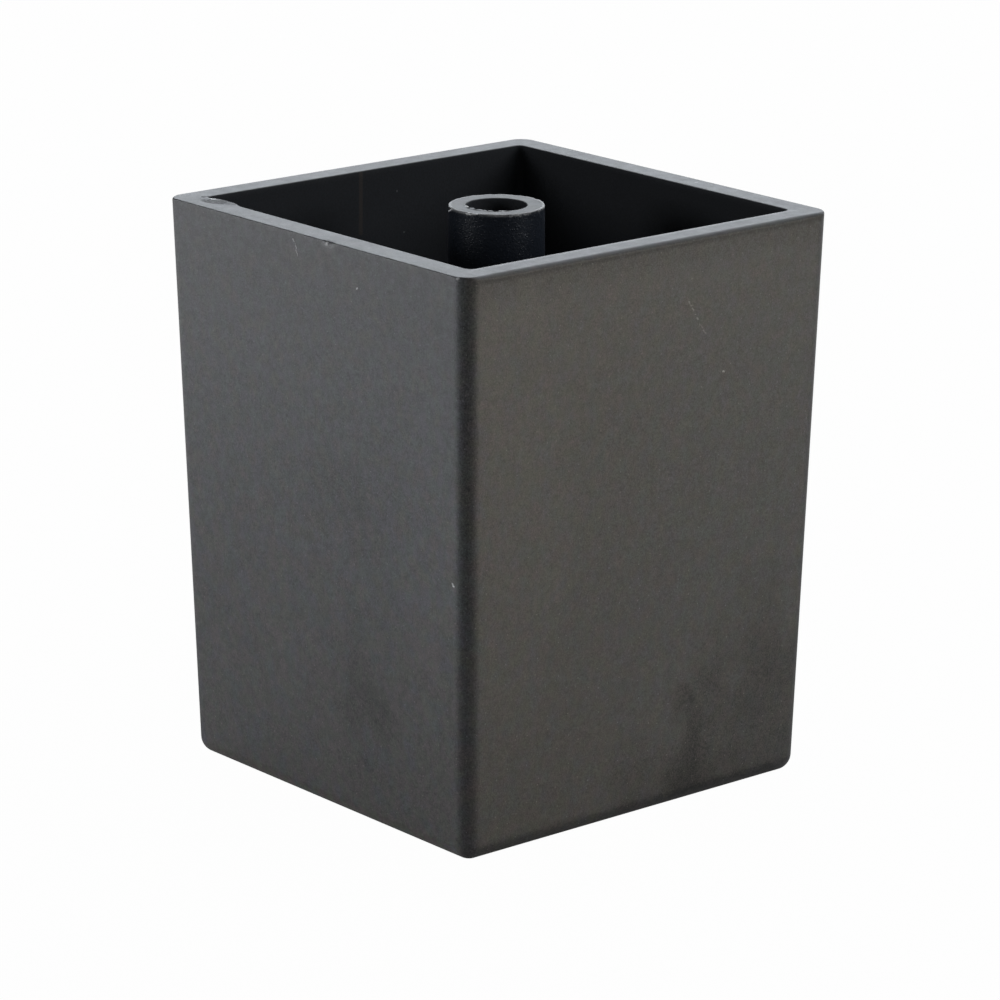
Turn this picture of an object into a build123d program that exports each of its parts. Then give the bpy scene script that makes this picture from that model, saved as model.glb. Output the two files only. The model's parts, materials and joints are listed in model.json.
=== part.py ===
"""Square furniture leg moulded in one piece.

A hollow shell narrows from its open rim to its closed foot. A tubular boss stands on the shell's
floor and ends level with the rim. A wood screw goes in at the foot, through the boss and on into
the underside of the furniture.

The foot stands on Z = 0, the leg's axis is Z, and the rim faces +Z.
"""

import os
from math import radians, tan

from build123d import *

# Shell, in millimetres and degrees
leg_height = 50.0
rim_width = 40.2
wall = 2.5
wall_draft = 1.5
outer_edge_radius = 1.5
inner_edge_radius = 0.6
rim_edge_radius = 0.25

# Countersunk screw that fastens the leg
screw_diameter = 5.0
screw_clearance = 0.2
head_diameter = 10.0
head_clearance = 0.4
head_angle = 90.0

# Boss around the screw, and the floor that its head seats in
boss_wall = 1.5
boss_draft = 0.5
boss_root_radius = 0.8
seat_thickness = 0.6

# Sizes that follow from the ones above
bore_radius = (screw_diameter + screw_clearance) / 2
sink_radius = (head_diameter + head_clearance) / 2
sink_depth = (sink_radius - bore_radius) / tan(radians(head_angle / 2))
floor_thickness = sink_depth + seat_thickness
cavity_depth = leg_height - floor_thickness
cavity_width = rim_width - 2 * wall
boss_tip_radius = bore_radius + boss_wall

with BuildPart() as leg:
    # Outside of the shell, drawn down from the rim
    with BuildSketch(Plane.XY.offset(leg_height)):
        Rectangle(rim_width, rim_width)
    extrude(amount=-leg_height, taper=wall_draft)
    rim_edges = leg.edges().group_by(Axis.Z)[-1]
    fillet(leg.edges() - rim_edges, outer_edge_radius)
    fillet(leg.faces().sort_by(Axis.Z)[-1].edges(), rim_edge_radius)

    # Hollow, parallel to the outside
    with BuildSketch(Plane.XY.offset(leg_height)):
        Rectangle(cavity_width, cavity_width)
    extrude(amount=-cavity_depth, taper=wall_draft, mode=Mode.SUBTRACT)
    hollow_edges = leg.edges(Select.LAST)
    fillet(hollow_edges - hollow_edges.group_by(Axis.Z)[-1], inner_edge_radius)

    # Boss, wider at its root
    with BuildSketch(Plane.XY.offset(leg_height)):
        Circle(boss_tip_radius)
    extrude(amount=-cavity_depth, taper=-boss_draft)
    fillet(leg.edges(Select.LAST).filter_by(GeomType.CIRCLE).sort_by(Axis.Z)[0], boss_root_radius)

    # Screw hole, countersunk at the foot
    with Locations(-Plane.XY):
        CounterSinkHole(bore_radius, sink_radius, counter_sink_angle=head_angle)

leg.part.label = "leg"
os.makedirs("parts", exist_ok=True)
export_step(leg.part, "parts/leg.step")
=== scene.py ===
"""Looks of a square furniture leg, moulded in one piece of dark satin plastic.

The moulding's section is swept round its axis on rounded squares that turn into circles at the
boss and the screw hole. Lengths are in metres, and marks on the faces are in millimetres.
"""

import json
from math import cos, pi, radians, sin, tan

import bpy
from bpy.props import FloatProperty, FloatVectorProperty, IntProperty, PointerProperty
from mathutils import Matrix, Vector


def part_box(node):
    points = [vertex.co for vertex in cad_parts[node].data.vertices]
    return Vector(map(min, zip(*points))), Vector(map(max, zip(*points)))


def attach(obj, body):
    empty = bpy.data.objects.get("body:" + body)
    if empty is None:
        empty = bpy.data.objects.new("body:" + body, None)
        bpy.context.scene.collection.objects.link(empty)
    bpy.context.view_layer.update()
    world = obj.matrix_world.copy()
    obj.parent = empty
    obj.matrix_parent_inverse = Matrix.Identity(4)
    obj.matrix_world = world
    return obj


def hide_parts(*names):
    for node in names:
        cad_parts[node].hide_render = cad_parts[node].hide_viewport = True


bl_info = {
    "name": "Moulded Furniture Leg",
    "version": (1, 0, 0),
    "blender": (4, 5, 0),
    "location": "View3D > Sidebar > Leg",
    "description": "Builds a hollow furniture leg in dark satin plastic and a plain studio",
    "category": "Object",
}

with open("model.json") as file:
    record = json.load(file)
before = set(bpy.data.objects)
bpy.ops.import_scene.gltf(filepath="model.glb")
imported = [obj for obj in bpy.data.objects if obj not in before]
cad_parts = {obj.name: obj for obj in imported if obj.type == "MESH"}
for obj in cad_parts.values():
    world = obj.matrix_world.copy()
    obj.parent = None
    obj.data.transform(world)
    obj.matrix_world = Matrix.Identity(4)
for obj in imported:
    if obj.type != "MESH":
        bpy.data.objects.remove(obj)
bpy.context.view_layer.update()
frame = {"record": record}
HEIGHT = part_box("leg")[1].z
MOUNTS = {mount["name"]: mount for mount in frame["record"]["mounts"]}
BORE = MOUNTS["screw_bore"]["dims"]["r_mm"] / 1000
SINK_DEPTH = HEIGHT - MOUNTS["screw_bore"]["dims"]["length_mm"] / 1000

# Places of the boss's tail of flash, of the burr where the rim is rough, and of the rim's nick, in metres
TAIL = Vector((-0.00121, -0.00392, HEIGHT - 0.00015))
BURR = (-0.0172, -0.0127)
NICK = Vector((0.00254, -0.02005, HEIGHT - 0.0001))
NICK_DEPTH = 0.00016

# Rough patch beside the burr in millimetres: middle, half lengths, and cosine and sine of its lean
PATCH_MIDDLE = (-15.3, -17.9)
PATCH_HALF = (2.05, 0.95)
PATCH_LEAN = (0.951, 0.309)

# Half the leg's width at its foot in millimetres, and how much that grows with the height
FOOT_HALF = 18.79
WALL_LEAN = 0.0262

# Half the floor's width, and how far it lies below the foot, in metres
FLOOR_HALF = 3.0
FLOOR_DROP = 0.00002

# Darker patches of the left face, painted shade towards the foot of the right face, and paler patches of
# both faces: middle, size, lean and strength
DARK_PATCHES_AND_SHADE = (
    ((2.0, -19.5, 28.5), (8.5, 4.0, 4.2), radians(-22), 0.8),
    ((5.0, -19.2, 12.0), (5.0, 4.0, 8.0), radians(25), 1.3),
    # Painted shade: these two darken the right face towards its foot
    ((19.2, 14.0, 5.5), (4.0, 12.0, 14.0), 0.0, 2.0),
    ((19.3, 2.0, 4.0), (4.0, 8.0, 5.5), 0.0, 1.1),
)
# Paler patches near the front corner of both faces
PALE_PATCHES = (
    ((15.0, -19.4, 27.0), (5.0, 4.0, 20.0), 0.0, 1.0),
    ((19.5, -15.0, 30.0), (4.0, 9.0, 26.0), 0.0, 1.1),
)

# Scratches of both faces, and painted highlights on the rim's burr and the boss's lip: start, end, width in
# millimetres and strength
SCRATCHES_AND_GLINTS = (
    ((-2.26, -20.09, 49.35), (-1.93, -20.07, 48.83), 0.11, 0.42),
    ((-1.9, -20.06, 48.78), (-1.75, -20.05, 48.1), 0.08, 0.42),
    ((19.95, 3.95, 44.6), (19.94, 4.25, 44.2), 0.09, 0.14),
    ((19.93, 4.43, 43.93), (19.91, 5.1, 42.8), 0.09, 0.16),
    ((19.9, 5.35, 42.45), (19.87, 6.05, 41.45), 0.09, 0.12),
    # Painted highlights: pale flecks on the rim's burr
    ((-17.0, -17.47, 49.97), (-16.55, -17.5, 49.97), 0.33, 1.6),
    ((-16.6, -17.4, 49.97), (-16.1, -17.25, 49.97), 0.12, 0.6),
    # Painted highlights on the boss's lip
    ((0.84, -4.01, 49.85), (1.78, -3.69, 49.85), 0.13, 0.8),
    ((3.74, -1.68, 49.77), (4.1, -0.01, 49.77), 0.16, 0.3),
)

# Nicks and dots of both faces, the rim and the hollow, and painted glints on the rim's front corner and at
# the boss's mouth: middle, width and strength
DOTS_AND_GLINTS = (
    ((6.1, -20.01, 46.71), 0.14, 0.55),
    ((17.76, -19.42, 24.05), 0.17, 0.75),
    ((19.78, 8.23, 37.89), 0.14, 0.3),
    ((19.26, 18.79, 17.99), 0.11, 0.55),
    ((4.26, 19.06, 50.0), 0.17, 0.55),
    # Painted highlight on the rim's edge by the front corner
    ((18.97, -20.0, 49.9), 0.22, 0.33),
    ((2.2, -20.06, 49.78), 0.2, 0.36),
    # Painted glints at the mouth of the screw hole
    ((-1.12, -2.36, 49.9), 0.22, 1.6),
    ((1.26, -1.98, 49.88), 0.22, 1.6),
    ((1.93, -1.35, 49.88), 0.16, 0.6),
    ((-17.54, 3.27, 47.7), 0.14, 0.13),
    ((-17.44, 3.97, 43.82), 0.14, 0.11),
)

# Soft boxes: name, degrees from the camera, height above the leg's middle, distance, size, level, tint
LAMPS = (
    ("Left strip", -93, 0.005, 0.6, (0.5, 0.06), 15.0, (0.985, 1.0, 1.04)),
    ("Right strip", 73, 0.005, 0.6, (0.3, 0.06), 16.7, (1.11, 1.0, 0.82)),
    ("Back panel", 168, 0.48, 0.8, (1.3, 0.9), 2.15, (0.94, 1.0, 1.07)),
    ("Left fill", -66, 0.12, 0.5, (0.14, 0.1), 8.8, (0.97, 1.0, 1.04)),
    ("Right fill", 64, 0.14, 0.5, (0.14, 0.1), 7.2, (0.97, 1.0, 1.04)),
    ("Right box", 85, 0.5, 0.4, (0.3, 0.5), 2.2, (0.97, 1.0, 1.04)),
)


# Settings


def length(name, description, default):
    words = {"name": name, "description": description, "unit": "LENGTH", "subtype": "DISTANCE"}
    return FloatProperty(default=default, min=0, precision=5, **words)


def angle(name, description, default):
    return FloatProperty(name=name, description=description, default=radians(default), subtype="ANGLE")


def colour(name, description, default):
    words = {"name": name, "description": description, "subtype": "COLOR"}
    return FloatVectorProperty(default=default, size=3, min=0, max=1, precision=4, **words)


def point(name, description, default):
    words = {"name": name, "description": description, "unit": "LENGTH", "subtype": "TRANSLATION"}
    return FloatVectorProperty(default=default, size=3, precision=5, **words)


def share(name, description, default):
    words = {"name": name, "description": description, "subtype": "FACTOR"}
    return FloatProperty(default=default, min=0, max=1, **words)


class LegShape(bpy.types.PropertyGroup):
    """Sizes of the moulding"""

    rim_width: length("Rim width", "Width of the leg across its flat sides at the rim", 0.0402)
    wall: length("Wall", "Thickness of the shell at the rim", 0.0025)
    draft: angle("Draft", "Lean of the shell's walls", 1.5)
    edge: length("Edge radius", "Rounding of the upright edges and of the foot", 0.0015)
    rim_edge: length("Rim edge radius", "Rounding of the rim's outer edge", 0.00025)
    hollow_edge: length("Hollow edge radius", "Rounding of the hollow's edges", 0.0006)
    floor: length("Floor", "Thickness of the closed foot", SINK_DEPTH + 0.0006)
    boss_wall: length("Boss wall", "Thickness of the screw boss at its tip", 0.0015)
    boss_draft: angle("Boss draft", "Lean of the boss", 0.5)
    boss_root: length("Boss root radius", "Rounding where the boss stands on the floor", 0.0008)
    trim: length("Trimmed edge radius", "Rounding of the moulding's crisp edges", 0.0001)
    boss_drop: length("Boss drop", "How far the boss's tip lies below the rim", 0.0001)
    flash: length("Flash", "Height of the thin lip of plastic left on the boss's tip", 0.00005)
    mouth_flash: length("Mouth flash", "How far the flash in the screw hole's mouth stands inwards", 0.00032)
    softening: length("Softening", "How much softer the rim's edge is on one side", 0.00018)
    crispness: length("Crispness", "How much crisper the rim's edge is on the side left of that", 0.00016)
    burr: length("Burr", "How far the rim's rough patch stands into the hollow", 0.00055)
    side_steps: IntProperty(name="Side steps", description="Steps along half a flat side", default=56, min=2)
    corner_steps: IntProperty(name="Corner steps", description="Steps round a corner", default=12, min=2)


class LegFinish(bpy.types.PropertyGroup):
    """Colours and surface of the plastic, with painted shade in the hollow and a pale colour for scratches
    and painted highlights
    """

    cool: colour("Cool plastic", "Colour of the dark plastic where it is cooler", (0.039, 0.042, 0.045))
    warm: colour("Warm plastic", "Colour of the dark plastic where it is warmer", (0.045, 0.042, 0.038))
    # Painted shade: the hollow's colour is far darker than the plastic outside, to darken the recess
    hollow: colour("Hollow", "Colour of the plastic in the hollow", (0.008, 0.010, 0.014))
    # The same pale colour also paints highlights and glints
    mark: colour("Marks", "Colour of scratched and chipped plastic", (0.8, 0.8, 0.79))
    roughness: share("Roughness", "Roughness of the moulded faces", 0.5)
    rim_roughness: share("Rim roughness", "Roughness of the rim and of the boss's tip", 0.45)
    ior: FloatProperty(name="IOR", description="Index of refraction of the plastic", default=1.56, min=1)
    grain: length("Grain", "Size of the fine grain on the moulded faces", 0.00013)
    spark: length("Spark grain", "Size of the coarse grain on the boss and in the hollow", 0.0002)


class LegStudio(bpy.types.PropertyGroup):
    """Camera, floor and lights"""

    camera_place: point("Camera", "Place of the camera", (0.287078, -0.241987, 0.131723))
    camera_azimuth: angle("Azimuth", "Turn of the camera round the leg", 49.8108)
    camera_elevation: angle("Elevation", "Slope of the camera's view", 16.0395)
    camera_roll: angle("Roll", "Turn of the camera about its view", 0.2398)
    camera_lens: FloatProperty(name="Lens", description="Focal length", default=162.479, unit="CAMERA")
    floor_colour: colour("Floor", "Colour of the floor", (0.45, 0.45, 0.45))


# Nodes


class Sock:
    """An output of a node tree, which expressions can calculate with"""

    def __init__(self, tree, socket=None):
        self.tree = tree
        self.socket = socket

    def node(self, kind, settings=None, values=None, output=0):
        """Adds a node, its settings first and then its values or links, and gives one of its outputs."""
        made = self.tree.nodes.new(kind)
        for name, value in (settings or {}).items():
            setattr(made, name, value)
        for name, value in (values or {}).items():
            if isinstance(value, Sock):
                self.tree.links.new(value.socket, made.inputs[name])
            else:
                made.inputs[name].default_value = value
        return Sock(self.tree, made.outputs[output] if made.outputs else None)

    def twin(self, output):
        """Another output of the same node"""
        return Sock(self.tree, self.socket.node.outputs[output])

    def math(self, operation, *values):
        return self.node("ShaderNodeMath", {"operation": operation}, dict(enumerate(values)))

    def __add__(self, other):
        return self.math("ADD", self, other)

    def __radd__(self, other):
        return self.math("ADD", other, self)

    def __sub__(self, other):
        return self.math("SUBTRACT", self, other)

    def __rsub__(self, other):
        return self.math("SUBTRACT", other, self)

    def __mul__(self, other):
        return self.math("MULTIPLY", self, other)

    def __rmul__(self, other):
        return self.math("MULTIPLY", other, self)

    def __truediv__(self, other):
        return self.math("DIVIDE", self, other)

    def __rtruediv__(self, other):
        return self.math("DIVIDE", other, self)

    def __pow__(self, other):
        return self.math("POWER", self, other)

    def __rpow__(self, other):
        return self.math("POWER", other, self)

    def __neg__(self):
        return self.math("SUBTRACT", 0.0, self)

    def __abs__(self):
        return self.math("ABSOLUTE", self)

    def vector(self, operation, other=None, output="Vector"):
        values = {0: self} if other is None else {0: self, 1: other}
        return self.node("ShaderNodeVectorMath", {"operation": operation}, values, output)

    def scaled(self, factor):
        return self.node("ShaderNodeVectorMath", {"operation": "SCALE"}, {0: self, "Scale": factor})

    def parts(self):
        first = self.node("ShaderNodeSeparateXYZ", {}, {0: self}, "X")
        return first, first.twin("Y"), first.twin("Z")

    def noise(self, size, detail=2.0, stretch=(1, 1, 1)):
        """Noise from about 0.3 to 0.7, with features of a size in the place's own unit"""
        values = {"Vector": self.vector("MULTIPLY", stretch), "Scale": 1 / size, "Detail": detail}
        return self.node("ShaderNodeTexNoise", {}, values)

    def blend(self, first, second):
        """The first colour where this is 0 and the second where it is 1"""
        return self.node("ShaderNodeMix", {"data_type": "RGBA"}, {0: self, 6: first, 7: second}, 2)

    def ramp(self, low, high):
        """0 up to low, 1 from high on and smooth between"""
        values = {"Value": self, "From Min": low, "From Max": high}
        return self.node("ShaderNodeMapRange", {"interpolation_type": "SMOOTHSTEP"}, values)

    def clamp(self):
        return self.node("ShaderNodeClamp", {}, {"Value": self})


# Shape of the moulding


def arc(middle, radius, start, end, steps):
    """Points of an arc in the section with the angle of each"""
    for step in range(steps + 1):
        turn = start + (end - start) * step / steps
        yield middle[0] + radius * cos(turn), middle[1] + radius * sin(turn), turn


def spread(start, end, near, steps):
    """Values from start to end, with two close steps at each end"""
    step_in = near if end > start else -near
    first, last = start + 2 * step_in, end - 2 * step_in
    middle = [first + (last - first) * step / steps for step in range(steps + 1)]
    return [start, start + step_in, *middle, end - step_in, end]


def moulding_section(shape):
    """The closed section: up the outside, over the rim, down the hollow, up the boss and down the bore.

    Each point holds half its width, its height, its corner radius, how round its ring is, how far it
    belongs to the hollow, to the cut rim, to the boss's lip and to its mouth, and where it goes as the rim's
    edge softens.
    """
    points = []

    def add(
        half, height, corner=0.0, disc=0.0, hollow=0.0, rim=0.0, lip=0.0, mouth=0.0, inward=0.0, down=0.0
    ):
        points.append((half, height, corner, disc, hollow, rim, lip, mouth, inward, down))

    lean, draft, near = tan(shape.draft), shape.draft, 0.00015
    boss_lean, boss_draft = tan(shape.boss_draft), shape.boss_draft
    edge, rim_edge, inner_edge, trim = shape.edge, shape.rim_edge, shape.hollow_edge, shape.trim

    def outer(height):
        return shape.rim_width / 2 - (HEIGHT - height) * lean

    def inner(height):
        return outer(height) - shape.wall

    def boss(height):
        return BORE + shape.boss_wall + (HEIGHT - height) * boss_lean

    # Foot's rounding, outer wall and the rim's outer edge
    foot = outer(edge) - edge / cos(draft)
    for half, height, turn in arc((foot, edge), edge, -pi / 2, -draft, 12):
        add(half, height, edge * max(cos(turn), 0))
    top = HEIGHT - rim_edge
    for height in spread(edge, top, 2.5 * near, 14)[1:-1]:
        add(outer(height), height, edge)
    shoulder = outer(top) - rim_edge / cos(draft)
    for half, height, turn in arc((shoulder, top), rim_edge, -draft, pi / 2, 12):
        softens = {"inward": 1 + lean - cos(turn), "down": 1 - sin(turn)}
        add(half, height, edge - rim_edge + rim_edge * cos(turn), rim=max(sin(turn), 0), **softens)

    # Flat rim and the hollow's wall, edge and floor
    lid = HEIGHT - trim
    brink = inner(lid) + trim / cos(draft)
    for half in spread(shoulder, brink, 1.6 * near, 8)[1:-1]:
        part = (half - brink) / (shoulder - brink)
        add(half, HEIGHT, inner_edge + trim + (edge - rim_edge - inner_edge - trim) * part, rim=1.0)
    for half, height, turn in arc((brink, lid), trim, pi / 2, pi - draft, 3):
        corner = inner_edge + trim * (1 + cos(turn))
        add(half, height, corner, hollow=max(-cos(turn), 0), rim=max(sin(turn), 0))
    low = shape.floor + inner_edge
    for height in spread(lid, low, 2.5 * near, 12)[1:-1]:
        add(inner(height), height, inner_edge, hollow=1.0)
    heel = inner(low) - inner_edge / cos(draft)
    for half, height, turn in arc((heel, low), inner_edge, -draft, -pi / 2, 6):
        add(half, height, inner_edge * max(cos(turn), 0), hollow=1.0)

    # Floor of the hollow, from square to round, and the boss
    root = shape.floor + shape.boss_root
    toe = boss(root) + shape.boss_root / cos(boss_draft)
    for step in range(1, 6):
        part = step / 6
        add(heel + (toe - heel) * part, shape.floor, 0.0, part, hollow=1.0)
    for half, height, turn in arc((toe, root), shape.boss_root, 1.5 * pi, pi + boss_draft, 6):
        add(half, height, disc=1.0, hollow=1.0)
    tip = HEIGHT - shape.boss_drop
    lid = tip - trim
    for height in spread(root, lid, near, 10)[1:-1]:
        add(boss(height), height, disc=1.0, hollow=1.0)
    for half, height, turn in arc((boss(lid) - trim / cos(boss_draft), lid), trim, boss_draft, pi / 2, 3):
        add(half, height, disc=1.0, hollow=max(cos(turn), 0), rim=max(sin(turn), 0), lip=1.0)
    for half in spread(boss(lid) - trim, BORE + trim, near, 5)[1:-1]:
        add(half, tip, disc=1.0, rim=1.0, mouth=max(0.0, 1 - (half - BORE - trim) / 0.0009))
    for half, height, turn in arc((BORE + trim, lid), trim, pi / 2, pi, 3):
        add(half, height, disc=1.0, hollow=max(-cos(turn), 0), rim=max(sin(turn), 0), mouth=1.0)

    # Bore, countersink and the foot's underside, from round to square
    for height in spread(lid, SINK_DEPTH, near, 6)[1:]:
        add(BORE, height, disc=1.0, hollow=1.0)
    sink = BORE + SINK_DEPTH
    for half in spread(BORE, sink, near, 4)[1:]:
        add(half, SINK_DEPTH - (half - BORE), disc=1.0)
    for half in spread(sink, foot, near, 5)[1:-1]:
        part = (half - sink) / (foot - sink)
        add(half, 0.0, 0.0, min(1.0, 1.15 * (1 - part)))
    return points


def section_mesh(points):
    """The section as a loop of edges, with what its rings need as attributes"""
    mesh = bpy.data.meshes.new("leg_section")
    count = len(points)
    loop = [(i, (i + 1) % count) for i in range(count)]
    mesh.from_pydata([(half, 0, height) for half, height, *_ in points], loop, [])
    for column, name in enumerate(("corner", "disc", "hollow", "rim", "lip", "mouth", "inward", "down"), 2):
        layer = mesh.attributes.new(name, "FLOAT", "POINT")
        layer.data.foreach_set("value", [point[column] for point in points])
    return mesh


def sweep_tree(material):
    """Geometry nodes that sweep a section round its axis on squares and circles, and mark its rim"""
    tree = bpy.data.node_groups.new("Moulding sweep", "GeometryNodeTree")
    sockets = {"Section": "NodeSocketGeometry"}
    sockets.update(dict.fromkeys(("Side Steps", "Corner Steps"), "NodeSocketInt"))
    numbers = ("Flash", "Mouth Flash", "Softening", "Crispness", "Burr", "Seed")
    sockets.update(dict.fromkeys(numbers, "NodeSocketFloat"))
    for name, kind in sockets.items():
        tree.interface.new_socket(name, in_out="INPUT", socket_type=kind)
    tree.interface.new_socket("Moulding", in_out="OUTPUT", socket_type="NodeSocketGeometry")
    new = Sock(tree)
    section = new.node("NodeGroupInput", output="Section")
    side, corner_steps = section.twin("Side Steps"), section.twin("Corner Steps")

    # Every point of a grid gets its ring's place and its place in the section
    quarter = side * 2 + corner_steps
    count = new.node("GeometryNodeAttributeDomainSize", {"component": "MESH"}, {0: section}, "Point Count")
    size = {"Vertices X": quarter * 4 + 1, "Vertices Y": count + 1}
    grid = new.node("GeometryNodeMeshGrid", {}, size, "Mesh")
    index = new.node("GeometryNodeInputIndex")
    ring = new.math("FLOOR", index / (count + 1))
    place = new.math("MODULO", index - ring * (count + 1), count)
    turn = new.math("FLOOR", ring / quarter)
    step = ring - turn * quarter

    def at_place(value, kind="FLOAT"):
        values = {"Geometry": section, "Value": value, "Index": place}
        return new.node("GeometryNodeSampleIndex", {"data_type": kind, "domain": "POINT"}, values)

    def sampled(name):
        kind = {"data_type": "FLOAT"}
        layer = new.node("GeometryNodeInputNamedAttribute", kind, {"Name": name}, "Attribute")
        return at_place(layer)

    position = at_place(new.node("GeometryNodeInputPosition"), "FLOAT_VECTOR")
    half, _, height = position.parts()
    corner, disc, lip, rim = sampled("corner"), sampled("disc"), sampled("lip"), sampled("rim")

    # A quarter of a ring: half a side, the corner, half a side, with closer steps near the corner
    def eased(part):
        return part * (1.5 - 0.5 * part)

    rise = eased((step / side).clamp())
    fall = eased(1 - ((step - side - corner_steps) / side).clamp())
    bend = ((step - side) / corner_steps).clamp() * (pi / 2)
    across = (half - corner) * fall + corner * new.math("COSINE", bend)
    along = (half - corner) * rise + corner * new.math("SINE", bend)
    swing = step / quarter * (pi / 2)
    across = across + (half * new.math("COSINE", swing) - across) * disc
    along = along + (half * new.math("SINE", swing) - along) * disc
    flat = new.node("ShaderNodeCombineXYZ", {}, {"X": across, "Y": along, "Z": height})
    turned = {"Vector": flat, "Angle": turn * (pi / 2)}
    around = new.node("ShaderNodeVectorRotate", {"rotation_type": "Z_AXIS"}, turned)
    x, y, z = around.parts()

    def seeded_noise(scale, detail):
        values = {"Vector": around, "W": section.twin("Seed"), "Scale": scale, "Detail": detail}
        return new.node("ShaderNodeTexNoise", {"noise_dimensions": "4D"}, values)

    # The lip of flash stands up unevenly round the boss's tip and ends in a tail
    uneven = seeded_noise(900.0, 3.0)
    tail = lip * (1 - around.vector("DISTANCE", TAIL, "Value").ramp(0.00004, 0.00018))
    flash = lip * uneven.ramp(0.36, 0.66) * section.twin("Flash")

    # Ragged flash stands into the mouth of the screw hole on one side
    front = (-y).ramp(0.0006, 0.0014) * x.ramp(-0.0016, -0.0008)
    ragged = sampled("mouth") * seeded_noise(2300.0, 1.0).ramp(0.4, 0.6) * front
    ragged = ragged * section.twin("Mouth Flash")
    curl = around.vector("MULTIPLY", (1, 1, 0)).vector("NORMALIZE").scaled(-ragged)

    # The rim's edge is softer on one side and crisper on the other, which a nick breaks
    right, left = x - abs(y), -y - abs(x)
    on_right, on_left = right.ramp(0, 0.001), left.ramp(0, 0.001)
    softer = right.ramp(0, 0.004) * section.twin("Softening")
    crisper = left.ramp(0, 0.002) * section.twin("Crispness")
    soft = softer - crisper + (uneven - 0.5) * (on_right + on_left) * 0.0002
    nick = (1 - around.vector("DISTANCE", NICK, "Value").ramp(0.0001, 0.0005)) * NICK_DEPTH

    # The rim's rough patch stands into the hollow as a burr
    run = ((x - BURR[0]) / (BURR[1] - BURR[0])).clamp()
    brink = z.ramp(HEIGHT - 0.0003, HEIGHT - 0.00012)
    brink = brink * (y + 0.0186).ramp(0, 0.0008) * (-y).ramp(0.0165, 0.0172)
    burr = new.math("SINE", run * pi) ** 1.1 * (1 + (uneven - 0.5) * 1.5) * brink * section.twin("Burr")

    inward = soft * sampled("inward")
    shift = new.node("ShaderNodeCombineXYZ", {}, {
        "X": -inward * on_right - tail * 0.0002,
        "Y": burr + nick * 0.8 - tail * 0.00024 + inward * on_left,
        "Z": flash - soft * sampled("down") - nick * 0.3 - tail * 0.00025,
    })
    moved = around.vector("ADD", shift).vector("ADD", curl)
    swept = new.node("GeometryNodeSetPosition", {}, {"Geometry": grid, "Position": moved})
    # The boss's lip keeps an uneven mask that paints a highlight on it, and its tail one that makes the tail
    # paler
    stored = {"hollow": sampled("hollow"), "rim": rim, "lip_highlight_and_tail": lip * uneven.ramp(0.45, 0.62) * 0.6 + tail}
    kind = {"data_type": "FLOAT", "domain": "POINT"}
    for name, value in stored.items():
        values = {"Geometry": swept, "Name": name, "Value": value}
        swept = new.node("GeometryNodeStoreNamedAttribute", kind, values)
    closed = new.node("GeometryNodeMergeByDistance", {}, {"Geometry": swept, "Distance": 1e-6})
    smooth = new.node("GeometryNodeSetShadeSmooth", {}, {0: closed, "Shade Smooth": True})
    real = new.node("GeometryNodeRealizeInstances", {}, {0: smooth})
    finished = new.node("GeometryNodeSetMaterial", {}, {"Geometry": real, "Material": material})
    new.node("NodeGroupOutput", {}, {0: finished})
    return tree


def baked(name, mesh, tree, inputs):
    """The object that a tree makes of a mesh, as a plain mesh with no modifier"""
    piece = bpy.data.objects.new(name, mesh)
    bpy.context.scene.collection.objects.link(piece)
    modifier = piece.modifiers.new("Sweep", "NODES")
    modifier.node_group = tree
    for item in tree.interface.items_tree:
        if item.name in inputs:
            modifier[item.identifier] = inputs[item.name]
    bpy.context.view_layer.update()
    made = bpy.data.meshes.new_from_object(piece.evaluated_get(bpy.context.evaluated_depsgraph_get()))
    piece.modifiers.clear()
    piece.data = made
    made.name = name
    bpy.data.meshes.remove(mesh)
    return piece


# Finish of the plastic


def stroke(spot, start, end, width):
    """1 on a straight mark between two places in millimetres and 0 beyond its width"""
    start, reach = Vector(start), Vector(end) - Vector(start)
    offset = spot.vector("SUBTRACT", start)
    run = (offset.vector("DOT_PRODUCT", reach, "Value") / reach.length_squared).clamp()
    steps = {"X": run * reach.x, "Y": run * reach.y, "Z": run * reach.z}
    foot = spot.node("ShaderNodeCombineXYZ", {}, steps)
    return 1 - offset.vector("DISTANCE", foot, "Value").ramp(width * 0.3, width)


def dot(spot, middle, width):
    """1 at a place in millimetres and 0 beyond a width"""
    return 1 - spot.vector("DISTANCE", middle, "Value").ramp(width * 0.3, width)


def patch(spot, middle, size, lean, waver):
    """1 in the middle of a soft, leaning oval in millimetres, 0 outside it and uneven between"""
    axis = (0, 1, 0) if abs(middle[1]) > abs(middle[0]) else (1, 0, 0)
    turned = {"Vector": spot.vector("SUBTRACT", middle), "Axis": axis, "Angle": lean}
    local = spot.node("ShaderNodeVectorRotate", {"rotation_type": "AXIS_ANGLE"}, turned)
    radius = local.vector("DIVIDE", size).vector("LENGTH", output="Value")
    return 1 - (radius + waver).ramp(0.2, 1.1)


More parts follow.
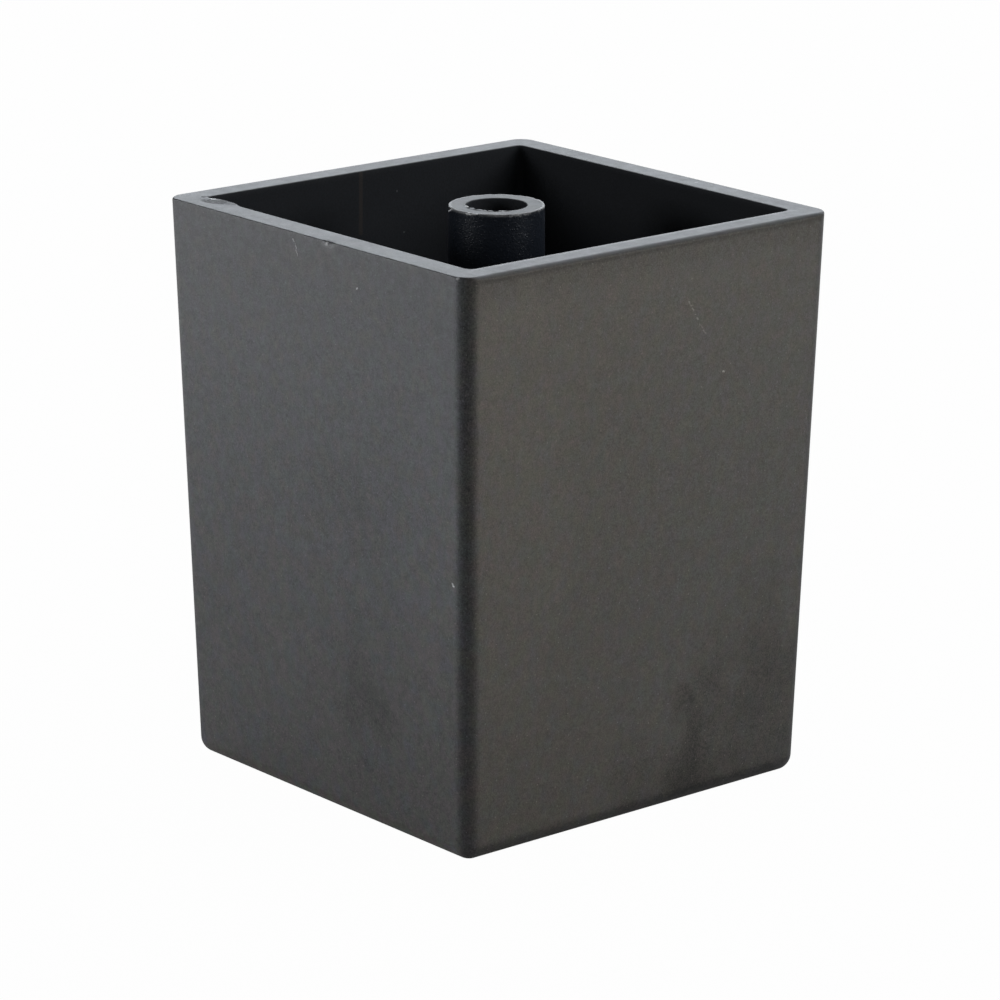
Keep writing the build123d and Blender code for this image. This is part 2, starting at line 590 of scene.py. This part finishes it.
def plastic(finish):
    """Dark plastic with a fine grain outside, a coarse one inside, a plainer rim, scratches and chips, and
    painted shade, shadow and highlights
    """
    material = bpy.data.materials.new("Moulded plastic")
    material.use_nodes = True
    tree = material.node_tree
    tree.nodes.clear()
    new = Sock(tree)
    place = new.node("ShaderNodeTexCoord", output="Object")
    spot = place.scaled(1000)
    x, y, z = spot.parts()
    radius = spot.vector("MULTIPLY", (1, 1, 0)).vector("LENGTH", output="Value")

    # Zones: the outer faces, two of them by their side, their corners and foot, and the boss
    def layer(name):
        return new.node("ShaderNodeAttribute", {"attribute_name": name}, output="Fac")

    hollow, rim, lip_highlight_and_tail = layer("hollow"), layer("rim"), layer("lip_highlight_and_tail")
    face = (1 - hollow) * (1 - rim)
    upright = face * z.ramp(0.02, 0.12)
    right = (x - abs(y)).ramp(0, 1.5) * upright
    left = (-y - abs(x)).ramp(0, 1.5) * upright
    half = FOOT_HALF + z * WALL_LEAN
    corner = (new.math("MINIMUM", abs(x), abs(y)) - half + 1.5).ramp(0.1, 1.1) * face
    foot = (1 - z.ramp(0.4, 1.9)) * face
    boss = hollow * radius.ramp(2.9, 3.4) * (1 - radius.ramp(6, 8))
    ring = rim * (1 - radius.ramp(4.6, 5))

    def cells(across, scale):
        flat = new.node("ShaderNodeCombineXYZ", {}, {"X": across, "Y": z})
        kind = {"voronoi_dimensions": "2D", "feature": "F1"}
        return new.node("ShaderNodeTexVoronoi", kind, {"Vector": flat, "Scale": scale})

    # Grain, specks and slow changes of tone
    grain = place.noise(finish.grain, 1.0) - 0.5
    coarse = place.noise(finish.spark, 2.0) - 0.5
    mid = place.noise(finish.grain * 2.6, 1.0) - 0.5
    lumps = spot.noise(0.9, 1.0) - 0.5
    slow = spot.noise(4.0, 2.0) - 0.5
    hue = spot.noise(1.5, 2.0, (1.0, 1.3, 0.9)) - 0.5
    hue_2 = spot.noise(1.2, 2.0, (1.2, 0.9, 1.0)) - 0.5
    cell = cells(x + y, 0.9)
    luck = cell.twin("Color").parts()[0]
    specks = (1 - cell.ramp(0.02, 0.07)) * luck.ramp(0.35, 0.9)

    # Rough patch on the rim, a leaning oval
    beside_x, beside_y = x - PATCH_MIDDLE[0], y - PATCH_MIDDLE[1]
    patch_run = (beside_x * PATCH_LEAN[0] + beside_y * PATCH_LEAN[1]) / PATCH_HALF[0]
    patch_side = (beside_y * PATCH_LEAN[0] - beside_x * PATCH_LEAN[1]) / PATCH_HALF[1]
    tears = spot.noise(0.4, 2.0, (0.6, 1.0, 1.0)) - 0.5
    oval = patch_run * patch_run + patch_side * patch_side
    torn = (1 - (oval + lumps * 1.2 + tears).ramp(0.7, 1.05)) * rim

    # Grains left by spark erosion on the boss
    bead = cells(new.math("ARCTAN2", y, x) * 4.1, 1 / (finish.spark * 1000))
    beads = (1 - bead.ramp(0.1, 0.5)) * bead.twin("Color").parts()[1].ramp(0.45, 0.95)

    # Darker patches and painted shade, paler patches, scratches, nicks, dots and painted glints
    waver = slow * 1.6
    patches_and_shade = sum(patch(spot, *place_and_size, waver) * strength for *place_and_size, strength in DARK_PATCHES_AND_SHADE)
    paleness = sum(patch(spot, *place_and_size, waver) * strength for *place_and_size, strength in PALE_PATCHES)
    shake = spot.noise(0.3, 0.0).twin("Color").vector("SUBTRACT", (0.5, 0.5, 0.5))
    ragged = spot.vector("ADD", shake.scaled(0.35))
    # Scratches, nicks and dots, with the painted glints and highlights among them
    marks_and_glints = sum(stroke(ragged, *mark) * strength for *mark, strength in SCRATCHES_AND_GLINTS)
    marks_and_glints = marks_and_glints + sum(dot(ragged, *mark) * strength for *mark, strength in DOTS_AND_GLINTS)
    marks_and_glints = marks_and_glints + torn * tears.ramp(0.06, 0.2) * 0.2

    # Painted shadow behind the mouth's flash, cracks in the rim, brown streak in the hollow and painted
    # highlights along edges
    # Painted shadow in a thin line behind the flash in the mouth of the screw hole
    flash_shadow = rim * (1 - abs(radius - 2.82).ramp(0.05, 0.15))
    flash_shadow = flash_shadow * (-y).ramp(0.6, 1.4) * x.ramp(-1.6, -0.8) * tears.ramp(-0.12, 0.05)
    crack_and_shadow = flash_shadow + stroke(ragged, (-17.85, -17.85, 50.0), (-17.55, -17.3, 50.0), 0.2)
    crack_and_shadow = crack_and_shadow + dot(ragged, (-17.4, -18.35, 50.0), 0.13) * 0.6
    streak = stroke(spot, (-17.6, -0.74, 49.8), (-17.4, -0.9, 44.5), 0.32) * hollow
    # Painted highlights along the boss ring's outer edge, the right rim's inner edge and a broken band round
    # the boss's lip
    ring_highlight = ring * radius.ramp(3.8, 3.98) * 0.27
    rim_highlight = rim * (1 - (x - 17.6).ramp(0.25, 0.7)) * (x - abs(y)).ramp(0, 0.4) * radius.ramp(8, 9) * 0.16
    lip_band_highlight = boss * z.ramp(49.64, 49.74) * tears.ramp(-0.05, 0.1) * 0.12
    edges = ring_highlight + rim_highlight + lip_band_highlight

    # Tint, cooler or warmer and greener or redder by patches
    warmth = 0.5 + hue * (3.2 + left * 2.5) + patches_and_shade * 0.25
    warmth = warmth + left * (0.5 - z.ramp(5, 35) * 0.8) + right * (0.25 - y.ramp(-15, 15) * 0.5)
    redness = 0.5 + hue_2 * (3.6 + left * 3.0)
    tint = warmth.clamp().blend((*finish.cool, 1), (*finish.warm, 1))
    tint = tint.vector("MULTIPLY", redness.clamp().blend((0.945, 1.05, 0.945, 1), (1.05, 0.945, 1.05, 1)))

    # Level, from the grain, darker patches and painted shade, paler patches, and painted shade and light on
    # the corners, the foot and the faces' upper edges
    speckle = grain * 1.95 + mid * (0.9 + left * 0.25) + lumps * (0.5 + left * 0.4)
    speckle = speckle * (1 + z.ramp(12, 35) * 0.25) + specks * 2.0
    level = 1 + speckle * face + slow * 0.25 - patches_and_shade * 0.22 + paleness * 0.22 * (1 - corner)
    # Painted shade darkens the upright corners, the more so higher up; the rough patch, the cracks and the
    # painted shadow behind the mouth's flash are darker too
    level = level - corner * (0.1 + z.ramp(5, 30) * 0.2) - torn * 0.15 - crack_and_shadow * 0.8
    # Painted light at the left face's foot and painted shade at the right face's foot
    level = level + foot * (left * 1.3 - right * 0.55)
    # Painted shade darkens the upper band of the right face and, below, of the left face
    right_top_shade = z.ramp(46.5, 49.5) * 0.5 + z.ramp(40, 47) * y.ramp(8, 18) * 0.1 + z.ramp(49.0, 49.7) * 0.3
    level = level - right * right_top_shade
    level = level - left * (z.ramp(38, 49) * 0.25 + z.ramp(49.0, 49.7) * 0.2)

    # Colour
    body = tint.scaled(level)
    # Painted shade in the hollow, and painted light on the boss, which is lighter than the walls round it
    dark = new.node("ShaderNodeCombineXYZ", {}, dict(enumerate(finish.hollow)))
    dark = dark.scaled((1 + coarse * 1.2) * (1 + boss * 1.3))
    base = hollow.blend(body, (streak * 0.35).blend(dark, (0.07, 0.05, 0.036, 1)))
    # Scratches, nicks, painted glints, the lip's painted highlight and the painted edge highlights blend
    # towards the pale colour
    base = (marks_and_glints + lip_highlight_and_tail * 0.43 + edges).clamp().blend(base, (*finish.mark, 1))

    # Roughness and relief
    rough = finish.roughness + (finish.rim_roughness - finish.roughness) * rim
    rough = rough + hollow * 0.3 - boss * 0.48 + ring * 0.05
    rough = rough + torn * (0.19 + tears * 0.9) + crack_and_shadow * 0.6 + lumps * rim * 0.12
    rough = rough + right * z.ramp(49.1, 49.5) * 0.1 - patches_and_shade * 0.05 + slow * 0.06 + grain * 0.15
    relief = grain * (9 * face + 4 * rim) + coarse * (12 * hollow + 25 * boss + 3 * rim)
    relief = relief + coarse * 16 * rim * (1 - oval.ramp(0.6, 1.0)) + beads * 16 * boss
    bump = new.node("ShaderNodeBump", {}, {"Strength": 1.0, "Distance": 0.000001, "Height": relief})
    surface = {"Base Color": base, "Roughness": rough, "IOR": finish.ior, "Normal": bump}
    shader = new.node("ShaderNodeBsdfPrincipled", {}, surface)
    new.node("ShaderNodeOutputMaterial", {}, {"Surface": shader})
    return material


# Studio


def lamp(name, turn, height, distance, size, level, tint):
    """A soft box that faces the middle of the leg, level with white where its level is 1"""
    data = bpy.data.lights.new(name, "AREA")
    data.shape, data.size, data.size_y = "RECTANGLE", size[0], size[1]
    data.energy, data.color = level * size[0] * size[1] * pi, tint
    box = bpy.data.objects.new(name, data)
    away = Vector((sin(turn) * distance, -cos(turn) * distance, height))
    box.location = away + Vector((0, 0, HEIGHT / 2))
    box.rotation_euler = away.to_track_quat("Z", "Y").to_euler()
    box.visible_camera = False
    bpy.context.scene.collection.objects.link(box)
    return box


def floor_material(tint, turn):
    """Pale floor that the camera sees as white, and reflections as a dim one, paler behind the leg"""
    material = bpy.data.materials.new("Pale floor")
    material.use_nodes = True
    tree = material.node_tree
    tree.nodes.clear()
    new = Sock(tree)
    camera = new.node("ShaderNodeLightPath", output="Is Camera Ray")
    place = new.node("ShaderNodeTexCoord", output="Object")
    behind = place.vector("DOT_PRODUCT", (-sin(turn), cos(turn), 0), "Value").ramp(0.02, 0.12)
    mirrored = camera.twin("Is Glossy Ray") * (0.1 + behind * 0.7)
    seen = camera * 0.985 + camera.twin("Is Transmission Ray") + mirrored
    matt = new.node("ShaderNodeBsdfDiffuse", {}, {"Color": (*tint, 1)})
    glow = new.node("ShaderNodeEmission", {}, {"Color": (1, 1, 1, 1), "Strength": 1.0})
    shown = new.node("ShaderNodeMixShader", {}, {0: seen, 1: matt, 2: glow})
    new.node("ShaderNodeOutputMaterial", {}, {"Surface": shown})
    return material


def white_world():
    """World that the camera and glass see as white, and that fills the shadows a little"""
    world = bpy.data.worlds.new("White room")
    world.use_nodes = True
    tree = world.node_tree
    tree.nodes.clear()
    new = Sock(tree)
    camera = new.node("ShaderNodeLightPath", output="Is Camera Ray")
    level = 0.08 + 0.92 * (camera + camera.twin("Is Transmission Ray"))
    sky = new.node("ShaderNodeBackground", {}, {"Color": (1, 1, 1, 1), "Strength": level})
    new.node("ShaderNodeOutputWorld", {}, {"Surface": sky})
    return world


# Operators


class LEG_OT_moulding(bpy.types.Operator):
    """Builds the moulded leg with its plastic finish"""

    bl_idname = "leg.moulding"
    bl_label = "Moulded leg"

    def execute(self, context):
        shape, finish = context.scene.leg_shape, context.scene.leg_finish
        tree = sweep_tree(plastic(finish))
        inputs = {
            "Side Steps": shape.side_steps,
            "Corner Steps": shape.corner_steps,
            "Flash": shape.flash,
            "Mouth Flash": shape.mouth_flash,
            "Softening": shape.softening,
            "Crispness": shape.crispness,
            "Burr": shape.burr,
            "Seed": 3.0,
        }
        leg = baked("leg_moulding", section_mesh(moulding_section(shape)), tree, inputs)
        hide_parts("leg")
        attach(leg, "root")
        return {"FINISHED"}


class LEG_OT_studio(bpy.types.Operator):
    """Sets up the floor, the lights and the camera"""

    bl_idname = "leg.studio"
    bl_label = "Studio"

    def execute(self, context):
        studio = context.scene.leg_studio
        turn = studio.camera_azimuth
        context.scene.view_settings.view_transform = "Standard"
        context.scene.world = white_world()
        mesh = bpy.data.meshes.new("floor")
        square = ((-1, -1), (1, -1), (1, 1), (-1, 1))
        corners = [(across * FLOOR_HALF, along * FLOOR_HALF, -FLOOR_DROP) for across, along in square]
        mesh.from_pydata(corners, [], [(0, 1, 2, 3)])
        mesh.materials.append(floor_material(studio.floor_colour, turn))
        floor = bpy.data.objects.new("floor", mesh)
        context.scene.collection.objects.link(floor)
        for name, round_turn, *box in LAMPS:
            lamp(name, turn + radians(round_turn), *box)

        data = bpy.data.cameras.new("Camera")
        data.lens, data.sensor_width = studio.camera_lens, 36
        data.clip_start, data.clip_end = 0.01, 20
        camera = bpy.data.objects.new("Camera", data)
        camera.location = studio.camera_place
        tilt = Matrix.Rotation(pi / 2 - studio.camera_elevation, 3, "X")
        tilt = tilt @ Matrix.Rotation(studio.camera_roll, 3, "Z")
        camera.rotation_euler = (Matrix.Rotation(turn, 3, "Z") @ tilt).to_euler()
        context.scene.collection.objects.link(camera)
        context.scene.camera = camera
        return {"FINISHED"}


class LEG_PT_tools(bpy.types.Panel):
    """Lists the leg's pieces and settings"""

    bl_idname = "LEG_PT_tools"
    bl_label = "Furniture Leg"
    bl_space_type = "VIEW_3D"
    bl_region_type = "UI"
    bl_category = "Leg"

    def draw(self, context):
        for operator in OPERATORS:
            self.layout.operator(operator.bl_idname)
        for settings in (context.scene.leg_shape, context.scene.leg_finish, context.scene.leg_studio):
            column = self.layout.box().column()
            for name in settings.__annotations__:
                column.prop(settings, name)


SETTINGS = {"leg_shape": LegShape, "leg_finish": LegFinish, "leg_studio": LegStudio}
OPERATORS = (LEG_OT_moulding, LEG_OT_studio)


def register():
    for kind in (*SETTINGS.values(), *OPERATORS, LEG_PT_tools):
        bpy.utils.register_class(kind)
    for name, kind in SETTINGS.items():
        setattr(bpy.types.Scene, name, PointerProperty(type=kind))


def unregister():
    for name in SETTINGS:
        delattr(bpy.types.Scene, name)
    for kind in (LEG_PT_tools, *OPERATORS, *SETTINGS.values()):
        bpy.utils.unregister_class(kind)


def main():
    register()
    bpy.ops.leg.moulding()
    bpy.ops.leg.studio()


if __name__ == "__main__":
    main()
